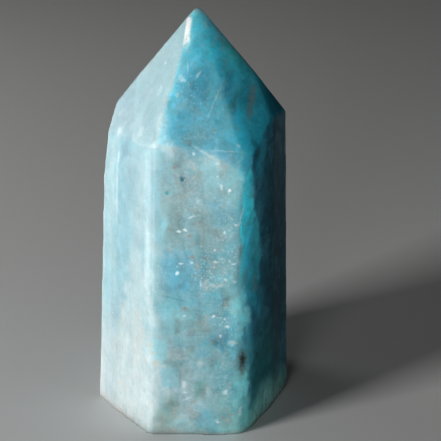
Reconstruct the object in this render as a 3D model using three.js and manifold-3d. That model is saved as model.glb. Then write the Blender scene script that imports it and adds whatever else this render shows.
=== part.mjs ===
// Apatite wand: one stone, ground to an uneven six-sided column with a six-sided point,
// polished all over and sawn flat across the base so that it stands upright.
// Millimetres, +Z up. The origin is the middle of the sawn base.

import * as THREE from 'three';
import { mergeVertices } from 'three/addons/utils/BufferGeometryUtils.js';
import Module from 'manifold-3d';

// Driving dimensions
const height = 78; // sawn base to tip
const roughWidth = 46; // the rough block that the stone is ground from
const lapSize = 160; // the flat lap that grinds each face

// Every face is a flat. azimuth is the way that it looks, in degrees from +X towards +Y, lean is
// how far it is laid back from upright, and reach is how far it stands from the origin.
const columnFaces = {
  leftStrip: { azimuth: -148, lean: 2.5, reach: 17.2 },
  left: { azimuth: -143, lean: 2.5, reach: 16.9 },
  frontLeftBevel: { azimuth: -123, lean: 2.5, reach: 18.4 },
  front: { azimuth: -92, lean: 2, reach: 17 },
  right: { azimuth: -27, lean: 0, reach: 16.2 },
  rightRear: { azimuth: -22, lean: 0, reach: 16.2 },
  backRight: { azimuth: 29, lean: 2.5, reach: 16.8 },
  back: { azimuth: 93, lean: 2, reach: 16.4 },
  backLeft: { azimuth: 156, lean: 2.4, reach: 16 },
};

const pointFaces = {
  left: { azimuth: -149, lean: 33.5, reach: 42.7 },
  leftRear: { azimuth: -154, lean: 30, reach: 40 },
  front: { azimuth: -86, lean: 35.5, reach: 45.2 },
  right: { azimuth: -59, lean: 37.5, reach: 47.8 },
  backRight: { azimuth: 19, lean: 36.5, reach: 47.5 },
  back: { azimuth: 93, lean: 36.5, reach: 46.6 },
  backLeft: { azimuth: 154, lean: 37, reach: 46.5 },
};

// Small flats where the point meets the column.
const shoulderFlats = {
  leftChamfer: { azimuth: -150.8, lean: 10.2, reach: 23.6 },
  frontChip: { azimuth: -85.3, lean: 12.1, reach: 26.82 },
  rightRearChamfer: { azimuth: -18, lean: 31.5, reach: 45 },
};

// A long shallow flake knocked off the edge between the front and the right face: the bowl of an
// ellipsoid whose middle is beside that edge, set over onto the right face and proud of it.
const flake = {
  above: 37, // height of its middle over the base
  setOver: 1.2,
  proud: 1.7,
  halfWidth: 7,
  halfDepth: 2.5,
  halfHeight: 14,
  steps: 36,
  rings: 36,
};

const up = new THREE.Vector3(0, 0, 1);
const wasm = await Module();
wasm.setup();

// A three.js geometry as a solid: only its positions count, with shared corners merged.
function solidOf(geometry) {
  const bare = geometry.clone();
  bare.deleteAttribute('normal');
  bare.deleteAttribute('uv');
  const merged = mergeVertices(bare);
  return new wasm.Manifold(
    new wasm.Mesh({
      numProp: 3,
      vertProperties: new Float32Array(merged.getAttribute('position').array),
      triVerts: new Uint32Array(merged.getIndex().array),
    }),
  );
}

function geometryOf(solid) {
  const { vertProperties, triVerts } = solid.getMesh();
  const geometry = new THREE.BufferGeometry();
  geometry.setAttribute('position', new THREE.BufferAttribute(new Float32Array(vertProperties), 3));
  geometry.setIndex(new THREE.BufferAttribute(new Uint32Array(triVerts), 1));
  geometry.computeVertexNormals();
  return geometry;
}

// The direction that a face looks in.
function facing({ azimuth, lean }) {
  const turn = THREE.MathUtils.degToRad(azimuth);
  const rise = THREE.MathUtils.degToRad(lean);
  return new THREE.Vector3(
    Math.cos(rise) * Math.cos(turn),
    Math.cos(rise) * Math.sin(turn),
    Math.sin(rise),
  );
}

// All the stone that lies outside a face.
function groundAway(face) {
  const normal = facing(face);
  const block = new THREE.BoxGeometry(lapSize, lapSize, lapSize);
  block.applyQuaternion(new THREE.Quaternion().setFromUnitVectors(up, normal));
  const middle = normal.multiplyScalar(face.reach + lapSize / 2);
  block.translate(middle.x, middle.y, middle.z);
  return solidOf(block);
}

function roughBlock() {
  const block = new THREE.BoxGeometry(roughWidth, roughWidth, height);
  block.translate(0, 0, height / 2);
  return solidOf(block);
}

// Where the edge between two faces passes a given height.
function edgeAt(one, other, z) {
  const a = facing(one);
  const b = facing(other);
  const planes = new THREE.Matrix3().set(a.x, a.y, a.z, b.x, b.y, b.z, 0, 0, 1);
  return new THREE.Vector3(one.reach, other.reach, z).applyMatrix3(planes.invert());
}

function flakeSolid() {
  const outward = facing(columnFaces.right);
  const along = new THREE.Vector3().crossVectors(up, outward);
  const middle = edgeAt(columnFaces.front, columnFaces.right, flake.above)
    .addScaledVector(along, flake.setOver)
    .addScaledVector(outward, flake.proud);
  const bowl = new THREE.SphereGeometry(1, flake.steps, flake.rings);
  bowl.rotateX(Math.PI / 2);
  bowl.scale(flake.halfDepth, flake.halfWidth, flake.halfHeight);
  bowl.rotateZ(THREE.MathUtils.degToRad(columnFaces.right.azimuth));
  bowl.translate(middle.x, middle.y, middle.z);
  return solidOf(bowl);
}

function grindStone() {
  const faces = [columnFaces, pointFaces, shoulderFlats].flatMap(Object.values);
  const ground = faces.reduce((stone, face) => stone.subtract(groundAway(face)), roughBlock());
  return ground.subtract(flakeSolid());
}

const polishedApatite = new THREE.MeshStandardMaterial({
  color: 0x7fb4c0,
  roughness: 0.22,
  metalness: 0,
});

const wand = new THREE.Mesh(geometryOf(grindStone()), polishedApatite);
wand.name = 'apatite_wand';

const group = new THREE.Group();
group.add(wand);

export default group;
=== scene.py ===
# Apatite wand: one polished stone, ground with flat faces all round and sawn flat across its foot.
import math

import bmesh
import bpy
import numpy as np
from mathutils import Euler, Matrix, Vector, noise


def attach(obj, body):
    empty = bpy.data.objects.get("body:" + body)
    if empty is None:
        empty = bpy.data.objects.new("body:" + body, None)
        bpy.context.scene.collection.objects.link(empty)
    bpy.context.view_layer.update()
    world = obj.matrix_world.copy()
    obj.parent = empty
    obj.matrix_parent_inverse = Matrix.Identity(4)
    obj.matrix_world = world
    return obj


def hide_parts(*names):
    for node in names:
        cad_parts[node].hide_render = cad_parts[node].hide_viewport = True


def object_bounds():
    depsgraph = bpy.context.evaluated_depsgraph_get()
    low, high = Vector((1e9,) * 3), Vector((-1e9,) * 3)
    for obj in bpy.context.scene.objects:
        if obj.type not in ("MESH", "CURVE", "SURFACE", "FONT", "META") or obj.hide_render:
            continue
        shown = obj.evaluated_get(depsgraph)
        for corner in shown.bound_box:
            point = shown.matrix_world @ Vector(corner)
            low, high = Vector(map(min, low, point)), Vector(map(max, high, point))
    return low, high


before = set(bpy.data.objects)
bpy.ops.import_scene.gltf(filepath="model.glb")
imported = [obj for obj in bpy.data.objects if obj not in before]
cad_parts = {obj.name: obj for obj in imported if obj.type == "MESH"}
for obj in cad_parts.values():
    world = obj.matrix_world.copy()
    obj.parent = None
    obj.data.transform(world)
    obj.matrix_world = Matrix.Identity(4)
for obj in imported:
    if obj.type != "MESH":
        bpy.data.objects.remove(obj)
cadLow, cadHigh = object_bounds()

# The stone is cut in millimetres and scaled to the frame at the end.
stone = {
    "height": 78,        # sawn foot to tip
    "roughWidth": 46,    # the block it is ground from
    "grain": 0.335,      # spacing of points on the finished surface
    "edgeRounds": 2,     # passes of smoothing that take the sharpness off the edges
    "wave": 0.05,        # how far hand polishing leaves the flats out of true
    "waveLength": 9,
    "trueBelow": 0.4,    # the lowest part is left true, so that it stands flat
    "seed": 2,           # of the uneven outlines; 0 would give new ones every time
}
mm = (cadHigh.z - cadLow.z) / stone["height"]
noise.seed_set(stone["seed"])

# Ground faces: the way each one looks (degrees round from +X), how far it leans back from
# upright (degrees), and how far it stands from the middle of the foot (mm).
groundFaces = {
    "leftStrip": (-148, 2.5, 17.2),
    "left": (-143, 2.5, 16.9),
    "frontLeftBevel": (-123, 2.5, 18.4),
    "front": (-92, 2, 17),
    "right": (-27, 0, 16.2),
    "rightRear": (-22, 0, 16.2),
    "backRight": (29, 2.5, 16.8),
    "back": (93, 2, 16.4),
    "backLeft": (156, 2.4, 16),
    "pointLeft": (-149, 33.5, 42.7),
    "pointLeftRear": (-154, 30, 40),
    "pointFront": (-86, 35.5, 45.2),
    "pointRight": (-59, 37.5, 47.8),
    "pointBackRight": (19, 36.5, 47.5),
    "pointBack": (93, 36.5, 46.6),
    "pointBackLeft": (154, 37, 46.5),
    "leftChamfer": (-150.8, 10.2, 23.6),
    "frontChip": (-85.3, 12.1, 26.82),
    "rightRearChamfer": (-18, 31.5, 45),
}

# Flakes knocked off the edge between two faces: the height of the middle, how far the flake bites into each
# face and how far it runs to either side along the edge (mm), how deep its bowl is cupped (degrees), and
# how strongly the break is painted with a teal glow, as if lit by light shining through the thin stone.
flakedEdge = ("front", "right")
flakes = [
    {"glow": 1, "shape": {"above": 42.6, "bites": (1.5, 2.5), "run": 6.2, "cup": 20}},
    {"glow": 0.6, "shape": {"above": 34.4, "bites": (1.5, 5.4), "run": 7.8, "cup": 18}},
    {"glow": 0.4, "shape": {"above": 22, "bites": (1.2, 2.4), "run": 14, "cup": 12}},
]
bowlRipple = {"size": 2.4, "height": 0.35}   # unevenness of the breaks, mm

# The lower part of the same edge is ground round.
roundEdge = {"below": 33, "within": 3.8, "passes": 50}

# A thin sliver split off along the ridge below the tip: the straight border that it left on a ground face
# (so far across and so high, at both ends), how deep it is, and how wide, long and thick the cut is made.
sliver = {"face": "pointFront", "border": ((0.12, 77.2), (-1.08, 70.3)), "deep": 0.2, "cut": (4, 16, 3)}
# The stone is white beside it, partly bruised and partly a painted highlight, from one place to another and
# so far to either side (mm), and that white skin is rougher.
bruiseAndGlint = {
    "ends": (("pointLeft", 0.45, 75.9), ("pointFront", -1.45, 71.6)),
    "halfWidth": 0.56,
    "whiteness": 0.8,
    "rougher": 0.3,
}

# Where the wear, the painted glow and the painted highlights show, from where they are not seen to where they
# are full.
wearAndLight = {
    "nearFlake": (1.25, 1.15),     # against the radius of the flake's own bowl
    "softBorder": (0.10, 0.55),    # how deep a break lies under the front face, mm,
    "crispBorder": (0.08, 0.20),   # and under the others
    "glowUp": (24, 38),           # height over the foot
    "bruiseGlintAside": (1.2, 0.8),     # against the half width of the bruise and its painted highlight
    "bruiseGlintAlong": (1.1, 0.6),     # and its length
    "edges": (0.995, 0.96),        # how far a rounded edge looks away from its flats (cosines)
    "paleSide": -150,              # edges are painted milky on the side that looks this way, towards the key light, partly as wear and partly as painted highlight,
    "paleOut": (4, 10),            # so far out to it
    "paleBelow": (60, 57),         # and under this height
    "edgeMilk": 0.22,
}


def facing(azimuth, lean):
    turn, rise = math.radians(azimuth), math.radians(lean)
    return Vector((math.cos(rise) * math.cos(turn), math.cos(rise) * math.sin(turn), math.sin(rise)))


def onFace(face, across, height):
    # a point on a ground face, so far to the right across it and so high over the foot
    azimuth, lean, reach = groundFaces[face]
    turn, rise = math.radians(azimuth), math.radians(lean)
    out = (reach - math.sin(rise) * height) / math.cos(rise)
    sideways = Vector((-math.sin(turn), math.cos(turn), 0))
    return Vector((out * math.cos(turn), out * math.sin(turn), height)) + sideways * across


def edgeAt(one, other, height):
    # where the edge between two faces passes a height
    rows = Matrix((facing(*one[:2]), facing(*other[:2]), (0, 0, 1)))
    return rows.inverted() @ Vector((one[2], other[2], height))


def finishedMesh(thing):
    # the mesh as its modifiers leave it
    depsgraph = bpy.context.evaluated_depsgraph_get()
    return bpy.data.meshes.new_from_object(thing.evaluated_get(depsgraph))


def newObject(name, bm):
    mesh = bpy.data.meshes.new(name)
    bm.to_mesh(mesh)
    bm.free()
    thing = bpy.data.objects.new(name, mesh)
    bpy.context.scene.collection.objects.link(thing)
    return thing


def grindBlock():
    bm = bmesh.new()
    bmesh.ops.create_cube(bm, size=1)
    bmesh.ops.scale(bm, vec=(stone["roughWidth"], stone["roughWidth"], stone["height"]), verts=bm.verts)
    bmesh.ops.translate(bm, vec=(0, 0, stone["height"] / 2), verts=bm.verts)
    for azimuth, lean, reach in groundFaces.values():
        normal = facing(azimuth, lean)
        everything = bm.verts[:] + bm.edges[:] + bm.faces[:]
        cut = bmesh.ops.bisect_plane(
            bm, geom=everything, plane_co=normal * reach, plane_no=normal, clear_outer=True)
        rim = [part for part in cut["geom_cut"] if isinstance(part, bmesh.types.BMEdge)]
        bmesh.ops.edgeloop_fill(bm, edges=rim)
    bmesh.ops.recalc_face_normals(bm, faces=bm.faces)
    return newObject("rough_point", bm)


def flakeShape(above, bites, run, cup):
    # puts a ball of radius 1 where its skin meets both faces at the flake's ends
    one, other = (groundFaces[face] for face in flakedEdge)
    edge = edgeAt(one, other, above)
    along = facing(*one[:2]).cross(facing(*other[:2])).normalized()
    start = edge + along.cross(facing(*one[:2])) * -bites[0]
    end = edge + along.cross(facing(*other[:2])) * bites[1]
    chord = end - start
    outward = chord.cross(along).normalized()
    spread = math.radians(cup)
    radius = chord.length / 2 / math.sin(spread)
    middle = (start + end) / 2 + outward * radius * math.cos(spread)
    axes = Matrix((outward, along.cross(outward), along)).transposed().to_4x4()
    stretch = Matrix.Diagonal((radius, radius, run / math.sin(spread), 1))
    return Matrix.Translation(middle) @ axes @ stretch


def flakeTool(shape):
    bm = bmesh.new()
    bmesh.ops.create_uvsphere(bm, u_segments=96, v_segments=96, radius=1)
    bmesh.ops.transform(bm, matrix=shape, verts=bm.verts)
    bm.normal_update()
    for vert in bm.verts:
        ripple = noise.fractal(vert.co / bowlRipple["size"], 0.8, 2, 3)
        vert.co += vert.normal * ripple * bowlRipple["height"]
    return newObject("flake_tool", bm)


def sliverShape():
    # puts a cube of half width 1 where its underside is the split, and its end the step at the foot
    top, foot = (onFace(sliver["face"], *end) for end in sliver["border"])
    outward = facing(*groundFaces[sliver["face"]][:2])
    upward = (top - foot).normalized()
    across = upward.cross(outward)
    wide, long, thick = sliver["cut"]
    middle = foot + upward * long / 2 - across * wide / 2 + outward * (thick / 2 - sliver["deep"])
    axes = Matrix((across, upward, outward)).transposed().to_4x4()
    return Matrix.Translation(middle) @ axes @ Matrix.Diagonal((wide / 2, long / 2, thick / 2, 1))


def sliverTool():
    bm = bmesh.new()
    bmesh.ops.create_cube(bm, size=2)
    bmesh.ops.transform(bm, matrix=sliverShape(), verts=bm.verts)
    bmesh.ops.recalc_face_normals(bm, faces=bm.faces)
    return newObject("sliver_tool", bm)


def knockFlakes(block):
    tools = [flakeTool(flakeShape(**flake["shape"])) for flake in flakes] + [sliverTool()]
    for tool in tools:
        knock = block.modifiers.new("knock", "BOOLEAN")
        knock.operation = "DIFFERENCE"
        knock.solver = "EXACT"
        knock.object = tool
    skin = block.modifiers.new("skin", "REMESH")
    skin.mode = "VOXEL"
    skin.voxel_size = stone["grain"]
    mesh = finishedMesh(block)
    for thing in tools + [block]:
        bpy.data.objects.remove(thing)
    return mesh


def nearEdge(spot):
    # whether a spot is near enough to the flaked edge, low enough down
    edge = edgeAt(*(groundFaces[face] for face in flakedEdge), spot.z)
    return spot.z < roundEdge["below"] and (spot - edge).length < roundEdge["within"]


def smoothed(bm, verts, passes, upright):
    for _ in range(passes):
        bmesh.ops.smooth_vert(
            bm, verts=verts, factor=0.5, use_axis_x=True, use_axis_y=True, use_axis_z=upright)


def polish(mesh):
    bm = bmesh.new()
    bm.from_mesh(mesh)
    smoothed(bm, bm.verts, stone["edgeRounds"], True)
    rounded = [vert for vert in bm.verts if nearEdge(vert.co)]
    smoothed(bm, rounded, roundEdge["passes"], False)
    bm.normal_update()
    for vert in bm.verts:
        if vert.co.z < stone["trueBelow"]:
            continue
        wave = noise.fractal(vert.co / stone["waveLength"], 0.6, 2, 3)
        vert.co += vert.normal * wave * stone["wave"]
    for vert in bm.verts:
        if vert.normal.z < -0.9:
            vert.co.z = 0
        vert.co.z = max(vert.co.z, 0)
    bmesh.ops.scale(bm, vec=(mm, mm, mm), verts=bm.verts)
    for face in bm.faces:
        face.smooth = True
    return newObject("apatite_point", bm)


def pointsOf(mesh):
    # the mesh's points, in millimetres
    points = np.empty(len(mesh.vertices) * 3)
    mesh.vertices.foreach_get("co", points)
    return points.reshape(-1, 3) / mm


def inShape(points, shape):
    # the points measured in a shape's own frame, where it reaches 1
    back = np.array(shape.inverted())
    return points @ back[:3, :3].T + back[:3, 3]


def eased(values, low, high):
    # 0 at low, 1 at high, smooth between
    part = np.clip((values - low) / (high - low), 0, 1)
    return part * part * (3 - 2 * part)


def keep(mesh, name, values):
    layer = mesh.attributes.new(name, "FLOAT", "POINT")
    layer.data.foreach_set("value", values.astype(np.float32))


def depthUnder(points, faces):
    # how deep each point lies under the flats that were ground
    flats = [groundFaces[face] for face in faces]
    gaps = [reach - points @ np.array(facing(azimuth, lean)) for azimuth, lean, reach in flats]
    return np.min(gaps, axis=0)


def noteWearAndLight(wand):
    # where the surface gets the painted glow of a break, the white bruise with its painted highlight, or a
    # pale edge of wear and painted highlight
    mesh = wand.data
    points = pointsOf(mesh)
    glow = np.zeros(len(points))
    for flake in flakes:
        away = np.linalg.norm(inShape(points, flakeShape(**flake["shape"])), axis=1)
        glow = np.maximum(glow, eased(away, *wearAndLight["nearFlake"]) * flake["glow"])
    # the painted glow runs out softly into the front face, and has a crisp border on the others
    glow = glow * eased(depthUnder(points, ["front"]), *wearAndLight["softBorder"])
    glow = glow * eased(points[:, 2], *wearAndLight["glowUp"])
    keep(mesh, "glow", glow * eased(depthUnder(points, groundFaces), *wearAndLight["crispBorder"]))

    start, end = (np.array(onFace(*spot)) for spot in bruiseAndGlint["ends"])
    way = np.clip((points - start) @ (end - start) / ((end - start) @ (end - start)), 0, 1)
    aside = np.linalg.norm(points - start - way[:, None] * (end - start), axis=1)
    bruisedAndGlinting = eased(aside / bruiseAndGlint["halfWidth"], *wearAndLight["bruiseGlintAside"]) * eased(way, *wearAndLight["bruiseGlintAlong"])
    keep(mesh, "bruisedAndGlinting", bruisedAndGlinting)

    normals = np.empty(len(mesh.vertices) * 3)
    mesh.vertices.foreach_get("normal", normals)
    normals = normals.reshape(-1, 3)
    flats = [facing(azimuth, lean) for azimuth, lean, _ in groundFaces.values()]
    flatness = (normals @ np.array(flats + [(0, 0, -1)]).T).max(axis=1)
    # pale edges only on the side towards the key light: wear and a painted highlight
    pale = eased(points @ np.array(facing(wearAndLight["paleSide"], 0)), *wearAndLight["paleOut"])
    pale = pale * eased(points[:, 2], *wearAndLight["paleBelow"])
    keep(mesh, "paleEdge", eased(flatness, *wearAndLight["edges"]) * pale)


def makeStone():
    wand = polish(knockFlakes(grindBlock()))
    noteWearAndLight(wand)
    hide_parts("apatite_wand")
    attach(wand, "root")
    return wand


# Colours of the stone, from its deepest blue to its milkiest.
stoneTones = [
    (0.00, (0.004, 0.045, 0.060)),
    (0.22, (0.014, 0.170, 0.260)),
    (0.40, (0.070, 0.400, 0.520)),
    (0.52, (0.130, 0.400, 0.480)),
    (0.64, (0.210, 0.400, 0.440)),
    (0.76, (0.280, 0.415, 0.445)),
    (0.90, (0.400, 0.475, 0.475)),
    (1.00, (0.520, 0.580, 0.570)),
]

apatite = {
    "tone": 0.63,             # how milky the stone is at the middle of its foot,
    "towardsRight": -0.003,   # and how that changes for each mm to the right,
    "towardsBack": 0.001,     # to the back
    "upwards": 0.0012,        # and up
    "deepShadedSide": 18,          # the way that the clear deep blue side looks, degrees; it looks away from the lamps, and its depth is partly the stone's own and partly painted shade,
    "deepShadedFrom": 2.6,         # where it starts, mm from the middle,
    "deepShadedOver": 4.5,         # how soon it has taken over, mm
    "deepShadedBy": -0.38,         # and how much less milky, and so darker, it is
    "paleLitSide": -150,        # the way that the milky, quiet side looks; it faces the key light, and its paleness is partly the stone's own and partly painted light,
    "paleLitFrom": 9,           # where it starts, mm from the middle,
    "paleLitOver": 6,           # how soon it has taken over, mm
    "paleLitBy": 0.08,          # how much milkier, and so paler, it is
    "quietBy": 0.50,          # and how much fainter its patterns are, as they are on
    "quietFaces": (0.62, 0.80),   # faces that look that way (cosines: not at all, fully)
    "sidesWander": (9, 3),    # how both sides' borders wander: the size of one bend and its reach, mm
    "ior": 1.63,
    "gloss": 0.08,            # how much of its polish mirrors the room
    "scatter": (0.75, 0.93, 1.0),
    "depth": 16,              # how freely light travels under the surface, mm
    "polish": (0.15, 0.30),   # roughness where it is polished best and worst
    "pits": 0.015,            # how deep the finest unevenness is, mm
}

# Patterns that run all through the stone: the size of one patch (mm), how far it is drawn out upright,
# how much milkier or clearer it makes the stone, and how much lighter or darker.
patterns = {
    "cloud": {"size": 8, "upright": 1.6, "milk": 0.14, "light": 0.42, "seed": 3},
    "growth": {"size": 1.5, "upright": 8, "milk": 0.14, "light": 0.38, "seed": 11},
    "mottle": {"size": 2.2, "upright": 1.5, "milk": 0.12, "light": 0.50, "seed": 23},
    "grit": {"size": 0.6, "upright": 1, "milk": 0.08, "light": 0.42, "seed": 37},
}
patternTurn = (4, -3, 0)       # the way that they all lean, degrees
patternWander = (7, 2.5)       # how they wander, as the sides do
grains = {
    "fine": {"size": 1.7, "milk": 0.07, "light": 0.14},
    "coarse": {"size": 4.2, "milk": 0.08, "light": 0.10},
}

# Flecks strewn through the stone in drifts: the size of the cell that each has to itself (mm), what share
# of the cells have one, how big it can be against its cell, and how strong.
flecks = {
    "pale": {"stain": "frost", "size": 0.9, "share": 0.40, "reach": 0.42, "strength": 0.5, "seed": 5},
    "dark": {"stain": "ink", "size": 2.3, "share": 0.25, "reach": 0.60, "strength": 0.3, "seed": 17},
    "rusty": {"stain": "rust", "size": 4.1, "share": 0.20, "reach": 0.60, "strength": 0.35, "seed": 29},
}
# Painted glints: sparks and a pale haze of fine glints, where the sparkles below put them; and rust in the
# pores.
spark = {"stain": "frost", "size": 0.55, "share": 0.70, "reach": 0.45, "strength": 0.45, "seed": 41}
glintHaze = {"size": 0.45, "from": 0.52, "to": 0.68, "strength": 0.45}
rustiness = {"size": 2.2, "from": 0.48, "to": 0.70, "strength": 0.62, "tint": (1.16, 0.86, 0.76)}

# Upright wisps that thin out the painted colours, and streaks that thin out the painted glow on the breaks:
# the size of one (mm), how far it is drawn out, where it starts and is full, and the least and the most
# colour left.
wisps = {"size": 0.9, "upright": 3, "roughness": 0.7, "from": 0.25, "to": 0.55, "least": 0.4, "most": 1}
streaks = {"size": 1.6, "upright": 2.5, "roughness": 0.6, "from": 0.3, "to": 0.62, "least": 0.25, "most": 0.9}

# The colours that paint the stone: its stains, and also painted light and shade.
tints = {
    "milk": (0.50, 0.58, 0.58),
    "frost": (0.66, 0.78, 0.80),
    "white": (0.84, 0.90, 0.90),
    "chalk": (0.50, 0.52, 0.51),
    "clay": (0.20, 0.31, 0.31),
    "tan": (0.45, 0.42, 0.34),
    "earth": (0.22, 0.27, 0.24),
    "brown": (0.16, 0.19, 0.16),
    "umber": (0.020, 0.022, 0.016),
    "rust": (0.34, 0.22, 0.15),
    "ink": (0.03, 0.15, 0.20),
    "green": (0.04, 0.34, 0.31),
    "sea": (0.02, 0.24, 0.22),
    "moss": (0.13, 0.31, 0.28),
    "floorGlow": (0.30, 0.86, 0.82),
    "edgeGlow": (0.32, 0.84, 0.90),
    "aqua": (0.22, 0.58, 0.64),
    "glowTeal": (0.08, 0.78, 0.90),
    "azure": (0.06, 0.50, 0.66),
    "teal": (0.03, 0.50, 0.65),
    "blue": (0.10, 0.37, 0.49),
    "deep": (0.03, 0.24, 0.36),
    "slate": (0.20, 0.32, 0.37),
    "mist": (0.22, 0.42, 0.48),
    "night": (0.006, 0.06, 0.09),
}

# Faces given a bluer or milkier tint of their own: (stain, strength).
faceTints = {
    "left": ("mist", 0.20),
    "leftStrip": ("mist", 0.56),
    "pointFront": ("azure", 0.55),
    "pointRight": ("teal", 0.50),
    "pointBackRight": ("blue", 0.50),
    "rightRearChamfer": ("teal", 0.50),
    "pointLeft": ("frost", 0.08),
    "pointLeftRear": ("slate", 0.60),
    "leftChamfer": ("mist", 0.58),
    # painted shade: the chip is tinted darker and bluer than the front because it leans further back from the
    # light
    "frontChip": ("blue", 0.80),
}
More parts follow.
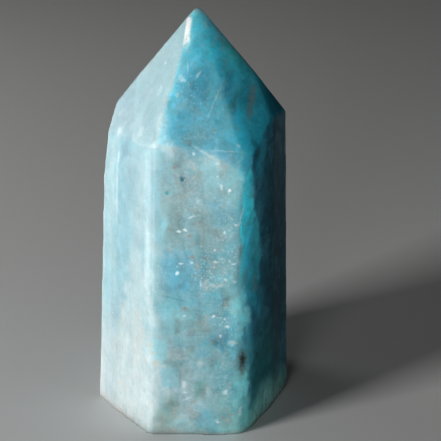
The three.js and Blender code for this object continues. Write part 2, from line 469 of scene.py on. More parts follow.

# Zones painted on the stone: stains, and in places painted light and shade. Each spot of this and the next
# lists is on a ground face, so far across it and so high up (mm): (stain, face, across, height, half width,
# half height, roll, strength).
zones = [
    # painted light: the lowest part of the left face made paler, where the floor throws light up onto it
    ("chalk", "left", 0, 5, 16, 15, 0, 0.64),
    ("azure", "pointFront", 3.4, 69, 3.6, 9, 0, 0.4),
    ("teal", "pointFront", 1.4, 73, 2.4, 4.6, 0, 0.3),
    ("mist", "left", -1.9, 48, 1.4, 8, 3, 0.6),
    ("mist", "left", -0.6, 37, 2.6, 9, 3, 0.6),
    ("mist", "left", -2.6, 31, 0.9, 6, 0, 0.5),
    ("slate", "leftChamfer", 0.6, 54, 1.5, 2, 0, 0.5),
    ("mist", "front", -5.6, 50, 0.9, 6, 0, 0.65),
    ("aqua", "front", -5.6, 17.5, 1.6, 2.2, 0, 0.12),
    ("milk", "left", 4.4, 47, 1.3, 7, 0, 0.35),
    ("milk", "leftStrip", -4, 44, 1.3, 16, 0, 0.2),
    ("chalk", "left", 3.5, 24, 3.2, 12, 0, 0.35),
    ("slate", "left", -2, 24, 1.4, 7, -6, 0.3),
    ("clay", "front", -2.3, 45.5, 2.2, 4.6, 5, 0.55),
    ("clay", "front", -1.4, 51, 0.7, 4, 0, 0.5),
    ("clay", "front", 2.4, 42.5, 1.2, 4.6, 3, 0.65),
    ("clay", "front", -3.5, 39.6, 1, 1.6, 0, 0.45),
    ("milk", "front", -6.9, 38.6, 1.2, 3, 12, 0.3),
    ("milk", "front", -7.6, 31, 0.8, 4, 0, 0.3),
    ("milk", "front", -6.9, 25, 1, 3.6, 10, 0.5),
    ("slate", "front", -6.6, 46, 0.9, 9, 0, 0.4),
    ("slate", "left", -0.7, 46, 2.3, 11, 0, 0.38),
    ("slate", "left", 2.6, 49.5, 3, 5, 0, 0.28),
    ("slate", "left", 4, 40, 1.2, 3, 0, 0.25),
    ("slate", "pointLeft", -1.6, 64.6, 2.2, 3.4, 0, 0.22),
    ("tan", "left", -1.6, 19, 0.7, 6, -14, 0.34),
    ("tan", "left", 4.6, 20, 0.8, 4, 8, 0.3),
    ("frost", "left", 0.2, 24, 0.8, 5, -12, 0.16),
    ("mist", "left", 1.4, 13, 0.9, 5, -10, 0.2),
    ("moss", "front", -4.2, 3.4, 2.6, 2.6, 0, 0.4),
    ("aqua", "front", 0, 0.6, 11, 2.2, 0, 0.35),
    ("slate", "leftStrip", -3, 16, 3, 16, 0, 0.16),
    ("blue", "front", -0.6, 32, 3.4, 4.6, 0, 0.5),
    ("aqua", "front", 3.4, 53, 2.4, 2.4, 0, 0.35),
    ("blue", "front", 6.6, 45.4, 2.8, 3, 0, 0.45),
    ("blue", "front", 5, 28.4, 1.4, 1.8, 0, 0.6),
    ("aqua", "front", -5, 41.6, 1.5, 2.6, 0, 0.28),
    ("aqua", "front", -3.6, 26, 1.8, 2.2, 0, 0.4),
    ("aqua", "front", 8.6, 49.4, 2.6, 3.6, 0, 0.55),
    ("azure", "front", 2.9, 4, 1.5, 3.2, 0, 0.2),
    ("azure", "front", 8.6, 22, 1.8, 5.6, 0, 0.45),
    ("azure", "front", 8.9, 10, 1.6, 4.4, 0, 0.5),
    ("deep", "front", 6, 20.4, 1.9, 1.7, 0, 0.6),
    ("moss", "front", -3.9, 6.6, 1.6, 2, 0, 0.5),
    ("moss", "front", 2, 10.2, 0.8, 2.2, 0, 0.6),
    ("frost", "pointFront", -5.6, 59, 1.2, 3.6, 14, 0.34),
    ("slate", "pointLeft", 0.6, 59.6, 6.5, 4, 0, 0.34),
    ("frost", "front", 2, 50, 7.5, 7, 0, 0.14),
    ("blue", "front", 3.6, 2.8, 2.4, 2.6, 0, 0.45),
    ("moss", "front", 6.2, 5.6, 2.4, 3.8, 0, 0.28),
    # painted glow: the right face next to the front edge lit teal, as if by light shining through the thin
    # edge
    ("edgeGlow", "right", -10.1, 25, 1.3, 5.8, 0, 0.45),
    ("edgeGlow", "right", -9.9, 8, 1.5, 6.4, 0, 0.85),
    ("teal", "right", -5, 54.2, 1.6, 3.6, 0, 0.6),
    ("teal", "frontChip", 8.6, 54.2, 1, 1.8, 0, 0.5),
    ("teal", "front", 10.3, 51.6, 1.1, 3, 0, 0.55),
    ("blue", "pointFront", 2.8, 56.8, 4.6, 1.4, 0, 0.6),
    ("azure", "pointFront", 1, 76, 1.6, 2.2, 0, 0.6),
    # painted glow: the right point face lit teal beside its ridge, as if by light shining through the thin
    # tip
    ("glowTeal", "pointRight", 2, 71, 1.8, 3.6, 10, 0.35),
    ("teal", "pointRight", 1.7, 70, 2, 5, 10, 0.6),
    ("teal", "pointRight", 2.3, 65.4, 1.5, 3.6, -20, 0.55),
    ("deep", "pointFront", 0.2, 65.2, 1.7, 1.9, 0, 0.45),
    ("clay", "pointFront", 0.2, 58.2, 2.4, 1.7, 0, 0.35),
    # painted glow: more of the teal light beside the ridge
    ("teal", "pointRight", 1.5, 59.4, 1.2, 6.5, -26, 0.65),
    ("green", "pointRight", 4.6, 70, 1.6, 3.2, 20, 0.5),
    ("night", "pointRight", 2.6, 55.4, 0.9, 3, -22, 0.6),
    ("night", "pointFront", 6.8, 63.6, 0.5, 2.2, -12, 0.35),
    ("deep", "pointFront", 5.6, 66.4, 0.7, 2.8, -12, 0.45),
    ("azure", "pointFront", 6.4, 59.6, 1.2, 3, -10, 0.5),
    ("umber", "rightRear", -0.3, 55.6, 1.1, 4.6, 0, 0.36),
    ("deep", "right", -4.6, 33, 2.2, 1.9, 0, 0.5),
    ("brown", "right", -4.6, 5, 0.6, 5.5, -8, 0.5),
    # painted light: a pale rim along the foot of the right face, where the floor lights it
    ("chalk", "right", 0, 0, 14, 0.6, 0, 0.6),
    # painted shade: the right face darkened, as it looks away from the lamps
    ("night", "right", 4.4, 38, 7, 24, 0, 0.82),
    ("sea", "right", -3, 8, 8, 11, 0, 0.5),
    ("teal", "right", -6.2, 27, 1.6, 4.4, 0, 0.35),
    ("teal", "front", 9.6, 44, 1.2, 7, 0, 0.3),
    ("azure", "front", 8.4, 37, 1.2, 6, 0, 0.12),
    ("deep", "frontChip", 8.6, 53.8, 1.1, 1.8, 0, 0.48),
    ("deep", "front", 10.6, 51, 0.9, 3, 0, 0.3),
    ("night", "pointRight", 4.6, 64, 0.9, 3.5, -28, 0.25),
    # painted light: the foot of the right face lit teal, as if by light from the floor
    ("floorGlow", "right", -1, -1, 10, 7, 0, 1),
    ("deep", "pointFront", 0.6, 67.2, 2.4, 1.9, 0, 0.4),
    ("deep", "pointFront", 4.2, 65, 1.2, 2, 0, 0.25),
    ("deep", "pointRight", 2.2, 64.9, 1.2, 2.2, 0, 0.16),
    ("deep", "pointRight", 5.6, 63.2, 1.4, 2.2, -20, 0.3),
    # painted shade: the rear right face darkened, as it looks away from the lamps
    ("night", "rightRear", 1, 18, 3.4, 8, 0, 0.45),
    ("night", "rightRear", 1.2, 8, 2.6, 4, 0, 0.35),
    # painted glow: more of the teal light along the front edge of the right face
    ("edgeGlow", "right", -9.6, 25.6, 1.3, 4, 0, 0.62),
    ("edgeGlow", "right", -9.9, 10.2, 1.1, 2.4, 0, 0.6),
    ("deep", "right", -10, 15.9, 1, 1.6, 0, 0.62),
    ("teal", "right", -4.6, 25, 1.5, 3, 0, 0.35),
    ("earth", "front", -5.4, 1.6, 2.2, 2.6, 0, 0.55),
    ("mist", "backLeft", -2, 40, 2.5, 9, 4, 0.45),
    ("clay", "backLeft", 3, 24, 2.4, 6, 0, 0.45),
    ("milk", "backLeft", -4, 12, 2, 6, 0, 0.4),
    ("azure", "backLeft", 4.5, 46, 2, 5, 0, 0.4),
    ("azure", "back", -3, 44, 3, 7, 0, 0.5),
    ("clay", "back", 2.5, 32, 2, 6, 6, 0.5),
    ("aqua", "back", -2, 18, 3, 5, 0, 0.4),
    ("deep", "back", 4, 12, 2.4, 5, 0, 0.45),
    ("moss", "back", -4, 6, 2, 3, 0, 0.4),
    ("teal", "backRight", 0, 44, 4, 8, 0, 0.4),
    ("umber", "backRight", 3, 20, 1.2, 4, 0, 0.4),
    ("green", "backRight", -3, 30, 2, 5, 0, 0.4),
    ("azure", "pointBack", 0, 64, 3, 6, 0, 0.4),
    ("clay", "pointBack", -3, 58.5, 2, 2, 0, 0.4),
    ("mist", "pointBackLeft", 0, 62, 3, 5, 0, 0.4),
]

# Where the painted glints crowd together, as the zones are given but with no stain.
sparkles = [
    ("front", 5.4, 35, 4.2, 4.6, 0, 1),
    ("front", 2.2, 31.6, 1.6, 2.6, 0, 1),
    ("front", 6.8, 42, 2.8, 2.4, 0, 0.9),
    ("front", -0.6, 50.6, 2.2, 4, 0, 0.55),
    ("front", 3.6, 48.6, 4.6, 4, 0, 0.4),
    ("front", -2.4, 40, 2.6, 3, 0, 0.3),
    ("front", 5.6, 49.6, 1.2, 1.6, 0, 0.55),
    ("front", 0.6, 45, 2.6, 2.6, 0, 0.45),
    ("front", -1.6, 35, 2.4, 1.2, 0, 0.6),
    ("front", 7, 23.6, 2, 3.4, 0, 0.9),
    ("front", 5, 27, 3, 2, 0, 0.45),
    ("front", -0.5, 9, 1.6, 2.2, 0, 0.6),
    ("front", 6, 11, 3, 6, 0, 0.45),
    ("front", -5.4, 30, 1.6, 6, 0, 0.35),
    ("pointFront", 1.4, 58.8, 4, 1.8, 0, 0.45),
    ("pointFront", -1.4, 66, 1.8, 3.4, 14, 0.6),
    ("pointFront", 1.8, 62, 3, 3.6, 0, 0.35),
    ("back", -3, 34, 4, 5, 0, 0.8),
    ("back", 3, 16, 3, 5, 0, 0.6),
    ("backLeft", 2, 34, 3, 5, 0, 0.7),
    ("pointBack", 1, 60, 3, 2.5, 0, 0.5),
]

# Single crystals that meet in straight borders.
blocks = [
    ("aqua", "front", -5.6, 17.6, 1.4, 2.2, 4, 0.24),
    ("sea", "front", -3.7, 11.9, 1.7, 2, 0, 0.16),
    ("azure", "front", -3.7, 11.9, 1.7, 2, 0, 0.2),
    ("brown", "front", 6.6, 28.6, 0.8, 1.9, 6, 0.45),
    ("aqua", "front", -3.5, 24, 1.8, 3, 8, 0.2),
    ("blue", "front", -2.2, 33.6, 2.9, 4.2, -8, 0.4),
    ("clay", "front", -2.5, 43.4, 1.2, 3.4, -4, 0.4),
    ("chalk", "front", -2.2, 17, 1.9, 1.2, 0, 0.34),
    ("blue", "front", 5.8, 22.6, 2.2, 2, 10, 0.3),
    ("clay", "front", 1.3, 22.6, 1.2, 1.2, 0, 0.3),
    ("aqua", "front", 5.6, 30.6, 2.6, 2.2, 0, 0.25),
    ("azure", "back", -4.4, 39, 2, 3, 5, 0.4),
    ("aqua", "back", 0.6, 26, 1.8, 2.6, -6, 0.35),
    ("clay", "back", 3.6, 41, 1.6, 2.4, 0, 0.4),
    ("blue", "backLeft", 0.4, 16, 2.2, 3, 4, 0.35),
]

# Straight pale lines along the borders of the ground faces.
lines = [
    # painted highlight: the bright line along the edge between leftStrip and left
    ("frost", "left", -3.15, 46.5, 0.34, 7, 0, 0.24),
    ("frost", "left", 6.4, 47, 0.9, 9, 0, 0.24),
    ("frost", "left", 6.8, 33, 0.8, 8, 0, 0.2),
]

# Patches with a crisper outline than the zones.
patches = [
    ("clay", "front", 0.1, 18, 0.7, 0.8, 0, 0.75),
    ("clay", "front", -0.8, 17, 1, 0.6, 0, 0.5),
    ("moss", "front", -3.2, 14.9, 1.7, 0.7, 0, 0.3),
    ("clay", "front", -2.2, 22.5, 0.6, 1.7, 0, 0.8),
    ("clay", "front", 2.2, 21.8, 1.9, 0.5, 0, 0.6),
    ("brown", "front", 4, 19.6, 0.9, 0.35, -40, 0.45),
    ("brown", "front", 7.2, 17.1, 0.35, 0.6, 0, 0.45),
    ("tan", "front", -3, 4.6, 0.5, 1.6, 8, 0.35),
    ("deep", "front", 5.6, 18.4, 1.4, 0.5, -35, 0.6),
    ("deep", "front", 10.1, 20.4, 0.5, 2, 0, 0.6),
    ("blue", "front", 2.4, 17, 1.3, 0.9, 0, 0.3),
    ("frost", "pointFront", -2.5, 67.3, 0.5, 0.6, 10, 0.45),
    ("frost", "pointFront", -3.2, 64.9, 0.35, 0.5, 14, 0.35),
    ("frost", "pointLeft", 2.8, 64.8, 0.6, 0.8, 0, 0.22),
    ("frost", "pointLeft", 3.5, 58, 0.8, 0.8, 0, 0.18),
    ("frost", "pointLeftRear", -1.9, 56.3, 0.8, 0.8, 0, 0.18),
    ("frost", "pointLeftRear", -4.7, 58.5, 0.8, 0.8, 0, 0.15),
    ("tan", "frontLeftBevel", 2, 18.6, 0.6, 0.7, 0, 0.45),
    ("tan", "left", 6.6, 15.1, 0.5, 0.6, 0, 0.4),
    ("tan", "left", -0.7, 6.5, 0.7, 0.6, 0, 0.35),
    ("ink", "pointFront", -4.6, 63.5, 0.4, 0.7, 14, 0.4),
    ("ink", "pointFront", 1.7, 66.4, 0.45, 0.8, 0, 0.25),
    ("deep", "pointFront", -2.7, 61.6, 0.7, 0.9, 0, 0.22),
    ("brown", "pointFront", -1.6, 57.8, 0.6, 0.5, 0, 0.45),
    ("brown", "front", 9.6, 15.2, 0.55, 2.6, 0, 0.75),
    ("brown", "front", 9.3, 37.3, 0.45, 1.4, 0, 0.55),
    ("brown", "right", -6.2, 29.5, 0.8, 1.6, 0, 0.5),
    ("frost", "frontLeftBevel", 2.2, 57.2, 0.8, 0.5, 0, 0.25),
    ("frost", "leftChamfer", -2.6, 56.1, 0.8, 0.8, 0, 0.18),
    # painted highlight: the bright top of that edge line
    ("frost", "left", -3.2, 51.9, 0.4, 1, 0, 0.3),
    ("tan", "front", -6.2, 14.9, 0.5, 0.6, 0, 0.6),
    ("tan", "front", -5.9, 2.2, 0.5, 0.7, 0, 0.5),
    ("tan", "front", -3.2, 1.2, 0.9, 0.4, 0, 0.45),
    ("tan", "front", 7, 3.4, 0.4, 0.7, -20, 0.4),
    ("brown", "front", -3.6, 6.4, 0.5, 1.3, 6, 0.35),
    ("tan", "front", -6.9, 16.9, 0.5, 0.35, 20, 0.5),
    ("frost", "front", 7.8, 19.3, 0.6, 0.5, 0, 0.6),
    ("frost", "front", 6.7, 9.3, 0.55, 0.5, 0, 0.55),
    ("frost", "front", 9.3, 5.1, 0.35, 0.9, -14, 0.6),
    ("milk", "front", 4.6, 30.8, 1.3, 0.45, 8, 0.6),
    ("milk", "front", 2.7, 30.7, 0.4, 1.2, 0, 0.5),
    ("milk", "front", 0.6, 53.6, 0.9, 0.8, 0, 0.5),
    ("tan", "front", -3.6, 37.7, 0.5, 0.5, 0, 0.5),
    ("rust", "front", 2.7, 36.1, 0.5, 0.5, 0, 0.35),
    ("frost", "front", 2, 14.8, 0.5, 0.5, 0, 0.45),
    ("brown", "pointRight", 4.9, 62.8, 0.7, 3.4, -29, 0.55),
    ("brown", "back", -5.5, 27, 0.6, 1.2, 0, 0.6),
    ("tan", "back", 1.2, 48, 0.7, 0.5, 0, 0.5),
    ("frost", "back", 3.4, 40, 0.5, 0.6, 0, 0.6),
    ("rust", "back", -1, 22, 0.5, 0.5, 0, 0.5),
    ("ink", "backLeft", -1.5, 30, 0.5, 0.7, 0, 0.6),
    ("frost", "backLeft", 2.4, 18, 0.8, 0.4, 20, 0.6),
    ("brown", "backLeft", 4.6, 9, 0.5, 1.4, 0, 0.5),
    ("tan", "backLeft", -3.8, 50, 0.5, 0.8, 0, 0.45),
    ("frost", "pointBackLeft", 1, 60, 0.5, 0.5, 0, 0.5),
]

# How these lists are laid: how far the spots are pushed out of shape (size of one bend and its reach, mm),
# how soft their rims are, and how square they are (2 is round).
soaking = [
    {"spots": zones, "push": (3.0, 1.3), "rim": 0.5, "corner": 2},
    {"spots": blocks, "push": (1.5, 0.35), "rim": 0.12, "corner": 7},
    {"spots": patches, "push": (1.2, 0.5), "rim": 0.25, "corner": 2.6},
    {"spots": lines, "push": (1, 0), "rim": 0.5, "corner": 2},
]
sparklesPush, sparklesRim = (2.0, 1.2), 0.6

# Small sharp marks, laid by the material itself, which takes about sixty of them at most.
markRim = (1.45, 0.30)   # where a mark starts and where it is full, against its own size
marks = [
    ("ink", "front", -1.2, 51.3, 0.36, 0.52, 0, 0.9),
    ("green", "front", -3.9, 48.6, 0.34, 0.36, 0, 0.8),
    ("rust", "front", -2.5, 53.3, 0.28, 0.24, 0, 0.6),
    ("rust", "front", 0, 40.4, 0.28, 0.34, 0, 0.6),
    ("rust", "front", -0.9, 26.3, 0.34, 0.36, 30, 0.85),
    ("rust", "front", 4.7, 47, 0.24, 0.36, 0, 0.5),
    ("rust", "front", 0.5, 36.4, 0.38, 0.42, 0, 0.55),
    ("rust", "front", 1.3, 25, 0.28, 0.38, 0, 0.45),
    ("rust", "front", 7.6, 4.5, 0.3, 0.36, 0, 0.6),
    ("rust", "front", 6.1, 3.8, 0.28, 0.34, 0, 0.5),
    ("rust", "front", 2.6, 40.5, 0.16, 3, -4, 0.4),
    ("tan", "front", 1.5, 34.5, 0.34, 0.6, 0, 0.6),
    ("frost", "front", 0.9, 55.9, 0.3, 0.34, 0, 0.6),
    ("frost", "front", -0.7, 41.6, 0.44, 0.28, -20, 0.9),
    ("frost", "front", -1.9, 41.2, 0.38, 0.26, 0, 0.85),
    ("white", "front", 7.2, 49.2, 0.3, 0.3, 0, 0.95),
    ("frost", "front", 5.7, 49.8, 0.34, 0.48, 0, 0.75),
    ("frost", "front", 5, 51.8, 0.28, 0.32, 0, 0.5),
    ("frost", "front", 0.5, 44.1, 0.7, 0.18, 18, 0.6),
    ("frost", "front", 1.6, 47, 0.2, 0.55, -35, 0.4),
    ("frost", "front", 8.4, 42.6, 0.3, 0.34, 0, 0.65),
    ("frost", "front", 6.3, 41.2, 0.26, 0.46, 0, 0.8),
    ("frost", "front", 9.2, 44, 0.15, 2.6, -12, 0.5),
    ("frost", "front", -2.2, 33.2, 0.26, 0.46, -24, 0.9),
    ("frost", "front", -1.5, 35.1, 0.46, 0.22, 0, 0.65),
    ("frost", "front", 0.5, 35.2, 0.3, 0.22, 0, 0.7),
    ("frost", "front", 2, 31.1, 0.24, 0.8, 0, 0.55),
    ("frost", "front", 4.6, 37.8, 0.3, 0.28, 0, 0.75),
    ("frost", "front", 4.6, 35.5, 0.36, 0.26, 0, 0.6),
    ("frost", "front", 8, 35.1, 0.48, 0.2, 20, 0.65),
    ("frost", "front", 6.4, 32, 0.26, 0.32, 0, 0.6),
    ("frost", "front", 8.2, 31.6, 0.34, 0.28, 0, 0.55),
    ("frost", "front", 8.8, 28.7, 0.3, 0.34, 0, 0.6),
    ("frost", "front", 4.4, 24.7, 0.42, 0.26, 40, 0.8),
    ("frost", "front", -1, 24.7, 0.32, 0.26, 40, 0.5),
    ("frost", "front", 6.9, 22.7, 0.4, 0.42, 0, 0.8),
    ("frost", "front", 6.3, 24.2, 0.24, 0.22, 0, 0.65),
    ("frost", "front", 5.7, 20.7, 0.28, 0.38, 0, 0.6),
    ("frost", "front", -1.1, 10.6, 0.3, 0.8, 0, 0.55),
    ("frost", "front", -1, 9, 0.46, 0.28, 0, 0.55),
    ("frost", "front", -0.5, 7.8, 1, 0.26, 30, 0.4),
    ("frost", "front", 5.1, 3, 0.48, 0.26, -20, 0.6),
    ("ink", "front", -2.7, 28.1, 2.2, 0.16, -14, 0.3),
    ("ink", "front", 6, 19, 2.6, 0.18, -26, 0.35),
    ("brown", "front", -1.9, 11.6, 0.2, 1.9, 0, 0.45),
    ("brown", "front", 1.2, 20.9, 2.2, 0.18, 4, 0.35),
    ("frost", "frontChip", 4.8, 56.4, 0.11, 3.2, 86, 0.22),
    ("frost", "front", 5, 54.2, 0.4, 0.26, -30, 0.5),
    ("umber", "front", 9.7, 15.8, 0.75, 1.5, 0, 0.9),
    ("frost", "pointFront", 3.2, 63.6, 0.16, 4.4, -24, 0.22),
    ("tan", "pointLeft", 5.4, 66.3, 0.14, 1.6, 30, 0.45),
    ("frost", "front", 3.2, 55.9, 0.3, 2.6, 58, 0.35),
    ("frost", "pointFront", 0.6, 67.8, 0.24, 0.8, -30, 0.45),
    ("frost", "pointFront", -1.2, 69, 0.1, 1.4, 2, 0.55),
    ("frost", "pointRight", -0.2, 57.1, 0.34, 0.4, 0, 0.45),
    ("frost", "pointLeft", 0.3, 68.6, 0.3, 0.3, 0, 0.4),
]


def place(tree, kind, **settings):
    node = tree.nodes.new(kind)
    for name, value in settings.items():
        setattr(node, name, value)
    return node


def feed(tree, socket, source):
    # a socket takes another node's output or a plain value
    if isinstance(source, bpy.types.NodeSocket):
        tree.links.new(source, socket)
    else:
        socket.default_value = source


def calc(tree, operation, a, b=0.0, c=0.0):
    node = place(tree, "ShaderNodeMath", operation=operation)
    for socket, source in zip(node.inputs, (a, b, c)):
        feed(tree, socket, source)
    return node.outputs[0]


def vectorCalc(tree, operation, a, b=(0, 0, 0)):
    node = place(tree, "ShaderNodeVectorMath", operation=operation)
    feed(tree, node.inputs[0], a)
    feed(tree, node.inputs[1], b)
    return node.outputs["Value" if operation in ("LENGTH", "DOT_PRODUCT") else "Vector"]


def scaled(tree, vector, amount):
    node = place(tree, "ShaderNodeVectorMath", operation="SCALE")
    feed(tree, node.inputs[0], vector)
    feed(tree, node.inputs["Scale"], amount)
    return node.outputs["Vector"]


def noiseAt(tree, where, size, detail=3.0, roughness=0.5, twist=0.0):
    node = place(tree, "ShaderNodeTexNoise")
    feed(tree, node.inputs["Vector"], where)
    node.inputs["Scale"].default_value = 1 / size
    node.inputs["Detail"].default_value = detail
    node.inputs["Roughness"].default_value = roughness
    node.inputs["Distortion"].default_value = twist
    return node


def cellsAt(tree, where, size, feature="F1"):
    node = place(tree, "ShaderNodeTexVoronoi", feature=feature)
    feed(tree, node.inputs["Vector"], where)
    node.inputs["Scale"].default_value = 1 / size
    return node


def ease(tree, value, low, high, top=1.0):
    # 0 at low, top at high, smooth between
    node = place(tree, "ShaderNodeMapRange", interpolation_type="SMOOTHSTEP")
    feed(tree, node.inputs["Value"], value)
    node.inputs["From Min"].default_value = low
    node.inputs["From Max"].default_value = high
    node.inputs["To Max"].default_value = top
    return node.outputs["Result"]


def swing(tree, value, reach):
    # a 0..1 pattern as a plus and minus amount
    return calc(tree, "MULTIPLY_ADD", value, reach, -0.5 * reach)


def blend(tree, amount, under, colour):
    node = place(tree, "ShaderNodeMix", data_type="RGBA")
    feed(tree, node.inputs[0], amount)
    feed(tree, node.inputs[6], under)
    feed(tree, node.inputs[7], colour if isinstance(colour, bpy.types.NodeSocket) else (*colour, 1))
    return node.outputs[2]


def shifted(tree, where, middle=(0, 0, 0), halves=(1, 1, 1), turn=(0, 0, 0)):
    # the same place measured from middle, in units of halves, about axes turned by so many degrees
    node = place(tree, "ShaderNodeMapping", vector_type="TEXTURE")
    feed(tree, node.inputs["Vector"], where)
    node.inputs["Location"].default_value = middle
    node.inputs["Rotation"].default_value = [math.radians(angle) for angle in turn]
    node.inputs["Scale"].default_value = halves
    return node.outputs["Vector"]


def ragged(tree, where, size, amount, detail=2.0):
    # the same place pushed about a little, so that patterns get uneven outlines
    push = noiseAt(tree, where, size, detail).outputs["Color"]
    centred = vectorCalc(tree, "SUBTRACT", push, (0.5, 0.5, 0.5))
    return vectorCalc(tree, "ADD", where, scaled(tree, centred, amount))


def patchTurn(face, roll):
    # how a patch is turned to lie on its face, degrees
    azimuth, lean, _ = groundFaces[face]
    return roll, -lean, azimuth


def soak(points, colour, spots, rim, corner):
    # lay colours one over another on the points; rim is how soft their outline is, and a bigger corner
    # makes them squarer
    for name, face, across, height, halfWidth, halfHeight, roll, strength in spots:
        turn = Euler([math.radians(angle) for angle in patchTurn(face, roll)])
        halves = (max(halfWidth, halfHeight), halfWidth, halfHeight)
        shape = Matrix.LocRotScale(onFace(face, across, height), turn, halves)
        away = (np.abs(inShape(points, shape)) ** corner).sum(axis=1) ** (1 / corner)
        amount = eased(away, 1 + rim, 1 - rim)[:, None] * strength
        colour = colour * (1 - amount) + np.array((*tints[name], 1)) * amount
    return colour


def pushed(points, size, amount):
    # the points moved about a little, so that what is laid on them gets an uneven outline
    pushes = [noise.turbulence_vector(Vector(point) / size, 3, False) for point in points]
    return points + np.array(pushes) * amount


def soakFaceTints(points):
    # each point belongs to the ground face that it is nearest to
    gaps = {name: reach - points @ np.array(facing(azimuth, lean))
            for name, (azimuth, lean, reach) in groundFaces.items()}
    colour = np.zeros((len(points), 4))
    for face, (name, strength) in faceTints.items():
        nearest = np.min([gap for other, gap in gaps.items() if other != face], axis=0)
        amount = eased(gaps[face] - nearest, 0.03, -0.03)[:, None] * strength
        colour = colour * (1 - amount) + np.array((*tints[name], 1)) * amount
    return colour


def paintCalm(wand):
    # how far each point belongs to a ground face that looks to the milky side, the side that the key light
    # falls on
    points = pointsOf(wand.data)
    looks = np.array([facing(azimuth, lean) for azimuth, lean, _ in groundFaces.values()])
    gaps = np.array([reach for _, _, reach in groundFaces.values()]) - points @ looks.T
    towards = looks[gaps.argmin(axis=1)] @ np.array(facing(apatite["paleLitSide"], 0))
    keep(wand.data, "calm", eased(towards, *apatite["quietFaces"]))


def paintSparks(wand):
    # where the painted glints crowd together
    points = pushed(pointsOf(wand.data), *sparklesPush)
    spots = [("frost", *spot) for spot in sparkles]
    amount = soak(points, np.zeros((len(points), 4)), spots, sparklesRim, 2)[:, 3]
    keep(wand.data, "sparkling", amount)


def paintColours(wand):
    # the face tints and the lists of spots, with their painted light and shade, kept on the points of the
    # surface
    points = pointsOf(wand.data)
    colour = soakFaceTints(points)
    for laid in soaking:
        colour = soak(pushed(points, *laid["push"]), colour, laid["spots"], laid["rim"], laid["corner"])
    layer = wand.data.attributes.new("paintedColour", "FLOAT_COLOR", "POINT")
    layer.data.foreach_set("color", colour.astype(np.float32).ravel())


def stain(tree, where, wobble, under, spots):
    # lay stains one over another, each an uneven patch on its face
    for name, face, across, height, halfWidth, halfHeight, roll, strength in spots:
        halves = (max(halfWidth, halfHeight), halfWidth, halfHeight)
        patch = shifted(tree, where, onFace(face, across, height), halves, patchTurn(face, roll))
        away = calc(tree, "ADD", vectorCalc(tree, "LENGTH", patch), wobble)
        under = blend(tree, ease(tree, away, *markRim, strength), under, tints[name])
    return under


def strew(tree, where, drift, under, fleck):
    # small flecks here and there, some bigger than others
    cells = cellsAt(tree, shifted(tree, where, (0, 0, fleck["seed"])), fleck["size"])
    chance = place(tree, "ShaderNodeSeparateColor")
    feed(tree, chance.inputs[0], cells.outputs["Color"])
    least = 1 - fleck["share"]
    reach = calc(tree, "MULTIPLY_ADD", chance.outputs[0], fleck["reach"], -least * fleck["reach"])
    inside = calc(tree, "SUBTRACT", reach, cells.outputs["Distance"])
    amount = calc(tree, "MULTIPLY", ease(tree, inside, -0.04, 0.08, fleck["strength"]), drift)
    return blend(tree, amount, under, tints[fleck["stain"]])


def specks(tree, where, drift, speck):
    # uneven specks wherever a fine pattern runs high
    fine = noiseAt(tree, where, speck["size"], 3, 0.7).outputs["Fac"]
    return calc(tree, "MULTIPLY", ease(tree, fine, speck["from"], speck["to"], speck["strength"]), drift)


def sideways(tree, where, azimuth, start, over, top):
    # 0 up to a line so far out on one side of the stone, top past it
    out = vectorCalc(tree, "DOT_PRODUCT", where, facing(azimuth, 0))
    return ease(tree, out, start, start + over, top)


def milkinessAndSideLight(tree, where):
    # how milky the stone is at each place, before the patterns: paler towards the key light and deeper away
    # from the lamps, partly as painted light and shade
    slope = (apatite["towardsRight"], apatite["towardsBack"], apatite["upwards"])
    level = calc(tree, "ADD", vectorCalc(tree, "DOT_PRODUCT", where, slope), apatite["tone"])
    uneven = ragged(tree, where, *apatite["sidesWander"])
    # the deep side away from the lamps is partly painted shade, the pale side towards the key light partly
    # painted light
    clear = sideways(
        tree, uneven, apatite["deepShadedSide"], apatite["deepShadedFrom"], apatite["deepShadedOver"], apatite["deepShadedBy"])
    paleLit = sideways(
        tree, uneven, apatite["paleLitSide"], apatite["paleLitFrom"], apatite["paleLitOver"], apatite["paleLitBy"])
    return calc(tree, "ADD", level, calc(tree, "ADD", clear, paleLit))


def layPatterns(tree, where):
    # how much the patterns add to the milkiness and to the light
    milk, light = 0.0, 0.0
    uneven = ragged(tree, where, *patternWander)
    for pattern in patterns.values():
        spread = []
        for aside in (0, 50):   # milk and light don't follow each other
            middle, halves = (0, aside, pattern["seed"]), (1, 1, pattern["upright"])
            drawn = shifted(tree, uneven, middle, halves, patternTurn)
            spread.append(noiseAt(tree, drawn, pattern["size"], 3, 0.6).outputs["Fac"])
        milk = calc(tree, "ADD", milk, swing(tree, spread[0], pattern["milk"]))
        light = calc(tree, "ADD", light, swing(tree, spread[1], pattern["light"]))
    return milk, light


def layGrains(tree, where, milk, light):
    # close-packed grains, each a shade of its own
    uneven = ragged(tree, where, 0.9, 1.1, 3)
    for grain in grains.values():
        cells = cellsAt(tree, uneven, grain["size"])
        shades = place(tree, "ShaderNodeSeparateColor")
        feed(tree, shades.inputs[0], cells.outputs["Color"])
        milk = calc(tree, "ADD", milk, swing(tree, shades.outputs[0], grain["milk"]))
        light = calc(tree, "ADD", light, swing(tree, shades.outputs[1], grain["light"]))
    return milk, light


def toneColour(tree, tone):
    ramp = place(tree, "ShaderNodeValToRGB")
    feed(tree, ramp.inputs["Fac"], tone)
    stops = ramp.color_ramp.elements
    for index, (position, colour) in enumerate(stoneTones):
        stop = stops[index] if index < 2 else stops.new(position)
        stop.position = position
        stop.color = (*colour, 1)
    return ramp.outputs["Color"]


def wispy(tree, where, size, upright, roughness):
    drawn = shifted(tree, where, halves=(1, 1, upright))
    return noiseAt(tree, drawn, size, 3, roughness).outputs["Fac"]


def thinned(tree, pattern, wisp):
    # from least to most as the pattern rises
    amount = ease(tree, pattern, wisp["from"], wisp["to"])
    return calc(tree, "MULTIPLY_ADD", amount, wisp["most"] - wisp["least"], wisp["least"])


def noted(tree, name):
    return place(tree, "ShaderNodeAttribute", attribute_name=name).outputs


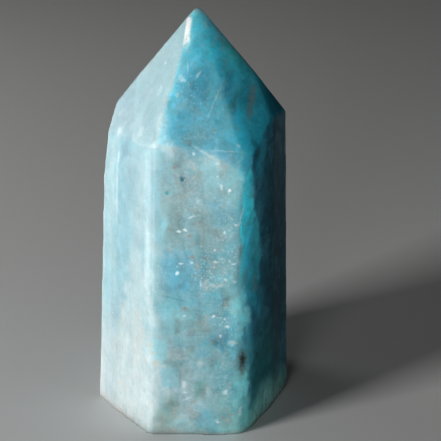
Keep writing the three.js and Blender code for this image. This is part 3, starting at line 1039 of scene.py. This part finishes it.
def apatiteMaterial():
    material = bpy.data.materials.new("polished_apatite")
    material.use_nodes = True
    tree = material.node_tree
    shader = tree.nodes["Principled BSDF"]
    coords = place(tree, "ShaderNodeTexCoord")
    where = shifted(tree, coords.outputs["Object"], halves=(mm, mm, mm))
    paintedColour = noted(tree, "paintedColour")
    paleEdge, glow, bruisedAndGlinting, sparkling, calm = (
        noted(tree, name)["Fac"] for name in ("paleEdge", "glow", "bruisedAndGlinting", "sparkling", "calm"))

    # the stone's colour, quieter on the milky side; its pale side towards the key light is partly painted
    # light, its deep side away from the lamps partly painted shade
    milk, light = layPatterns(tree, where)
    milk, light = layGrains(tree, where, milk, light)
    quiet = sideways(
        tree, where, apatite["paleLitSide"], apatite["paleLitFrom"], apatite["paleLitOver"], apatite["quietBy"])
    quiet = calc(tree, "MAXIMUM", quiet, calc(tree, "MULTIPLY", calm, apatite["quietBy"]))
    loud = calc(tree, "SUBTRACT", 1.0, quiet)
    milk = calc(tree, "MULTIPLY_ADD", milk, loud, milkinessAndSideLight(tree, where))
    light = calc(tree, "MULTIPLY_ADD", light, loud, 1.0)
    colour = toneColour(tree, milk)

    # the painted colours, thinned by wisps, then the painted glow on the breaks and the pale edges of wear
    # and painted highlight
    wisp = wispy(tree, where, wisps["size"], wisps["upright"], wisps["roughness"])
    patch = blend(tree, paintedColour["Alpha"], colour, (0, 0, 0))
    patch = vectorCalc(tree, "ADD", patch, paintedColour["Color"])
    colour = blend(tree, thinned(tree, wisp, wisps), colour, patch)
    streak = wispy(tree, where, streaks["size"], streaks["upright"], streaks["roughness"])
    glowing = calc(tree, "MULTIPLY", glow, thinned(tree, streak, streaks))
    colour = blend(tree, glowing, colour, tints["glowTeal"])
    colour = scaled(tree, colour, light)
    colour = blend(tree, calc(tree, "MULTIPLY", paleEdge, wearAndLight["edgeMilk"]), colour, tints["milk"])

    # flecks, painted glints, rust, marks and the white bruise with its painted highlight over it all
    uneven = ragged(tree, where, 0.8, 0.6)
    wobble = swing(tree, noiseAt(tree, where, 0.5, 2, 0.6).outputs["Fac"], 1.3)
    drift = calc(tree, "MULTIPLY", ease(tree, noiseAt(tree, where, 5, 2).outputs["Fac"], 0.45, 0.62), loud)
    for fleck in flecks.values():
        colour = strew(tree, uneven, drift, colour, fleck)
    colour = strew(tree, uneven, sparkling, colour, spark)
    colour = blend(tree, specks(tree, where, sparkling, glintHaze), colour, tints["frost"])
    rusted = specks(tree, where, calc(tree, "MULTIPLY_ADD", loud, 2.0, -1.0), rustiness)
    tint = blend(tree, rusted, (1, 1, 1, 1), rustiness["tint"])
    colour = vectorCalc(tree, "MULTIPLY", colour, tint)
    colour = stain(tree, uneven, wobble, colour, marks)
    whitened = ease(tree, wisp, wisps["from"], wisps["to"], bruiseAndGlint["whiteness"])
    colour = blend(tree, calc(tree, "MULTIPLY", bruisedAndGlinting, whitened), colour, tints["white"])
    feed(tree, shader.inputs["Base Color"], colour)
    shader.inputs["IOR"].default_value = apatite["ior"]
    shader.inputs["Specular IOR Level"].default_value = apatite["gloss"]
    shader.inputs["Subsurface Weight"].default_value = 1
    shader.inputs["Subsurface Radius"].default_value = apatite["scatter"]
    shader.inputs["Subsurface Scale"].default_value = apatite["depth"] * mm

    # the polish is uneven, and duller where the stone is bruised
    smooth, dull = apatite["polish"]
    roughness = calc(tree, "MULTIPLY_ADD", noiseAt(tree, where, 3, 3).outputs["Fac"], dull - smooth, smooth)
    roughness = calc(tree, "MULTIPLY_ADD", bruisedAndGlinting, bruiseAndGlint["rougher"], roughness)
    feed(tree, shader.inputs["Roughness"], roughness)
    bump = place(tree, "ShaderNodeBump")
    feed(tree, bump.inputs["Height"], noiseAt(tree, where, 0.7, 3).outputs["Fac"])
    bump.inputs["Distance"].default_value = apatite["pits"] * mm
    feed(tree, shader.inputs["Normal"], bump.outputs["Normal"])
    return material


# The studio, in metres. Each softbox: the way from the stone, how far, how wide and high, and how bright.
studio = {
    "aim": 0.038,   # the height that the softboxes look at
    "softboxes": {
        "keyLight": {"azimuth": -147, "elevation": 9, "distance": 0.5,
                     "size": (0.14, 0.24), "brightness": 28.5},
        "frontLight": {"azimuth": -106, "elevation": 4, "distance": 0.6,
                       "size": (0.2, 0.12), "brightness": 16},
        "sideLight": {"azimuth": 149, "elevation": 13, "distance": 0.35,
                      "size": (0.13, 0.11), "brightness": 3.5},
        "rimLight": {"azimuth": 10, "elevation": 45, "distance": 0.5,
                     "size": (0.12, 0.12), "brightness": 1.2},
    },
    "room": 0.006,   # how bright the room is
    "paper": (0.64, 0.64, 0.63),
}
# The camera: where it stands, how far it is tipped up from straight down (degrees), and its lens (mm).
eye = {"place": (0.00503, -0.2748, 0.15888), "tilt": 66, "lens": 130.6}


def addSoftbox(name, azimuth, elevation, distance, size, brightness):
    away = facing(azimuth, elevation)
    lamp = bpy.data.lights.new(name, "AREA")
    lamp.shape = "RECTANGLE"
    lamp.size, lamp.size_y = size
    lamp.energy = brightness * math.pi * size[0] * size[1]
    holder = bpy.data.objects.new(name, lamp)
    holder.location = Vector((0, 0, studio["aim"])) + away * distance
    holder.rotation_euler = away.to_track_quat("Z", "Y").to_euler()
    bpy.context.scene.collection.objects.link(holder)


def addFloor():
    bm = bmesh.new()
    bmesh.ops.create_grid(bm, x_segments=1, y_segments=1, size=3)
    floor = newObject("studio_floor", bm)
    paper = bpy.data.materials.new("studio_paper")
    paper.use_nodes = True
    shader = paper.node_tree.nodes["Principled BSDF"]
    shader.inputs["Base Color"].default_value = (*studio["paper"], 1)
    shader.inputs["Roughness"].default_value = 0.9
    floor.data.materials.append(paper)


def addRoom():
    room = bpy.data.worlds.new("studio_room")
    room.use_nodes = True
    room.node_tree.nodes["Background"].inputs["Color"].default_value = (1, 1, 1, 1)
    room.node_tree.nodes["Background"].inputs["Strength"].default_value = studio["room"]
    bpy.context.scene.world = room


def addCamera():
    camera = bpy.data.cameras.new("camera")
    camera.lens = eye["lens"]
    camera.sensor_width = 36
    camera.clip_start = 0.01
    holder = bpy.data.objects.new("camera", camera)
    holder.location = eye["place"]
    holder.rotation_euler = (math.radians(eye["tilt"]), 0, 0)
    bpy.context.scene.collection.objects.link(holder)
    bpy.context.scene.camera = holder


wand = makeStone()
print("stone cut:", len(wand.data.polygons), "faces")
paintColours(wand)
paintCalm(wand)
paintSparks(wand)
wand.data.materials.clear()
wand.data.materials.append(apatiteMaterial())
print("stone finished")
addFloor()
addRoom()
for name, softbox in studio["softboxes"].items():
    addSoftbox(name, **softbox)
addCamera()
bpy.context.scene.view_settings.view_transform = "Standard"
print("studio and camera set")
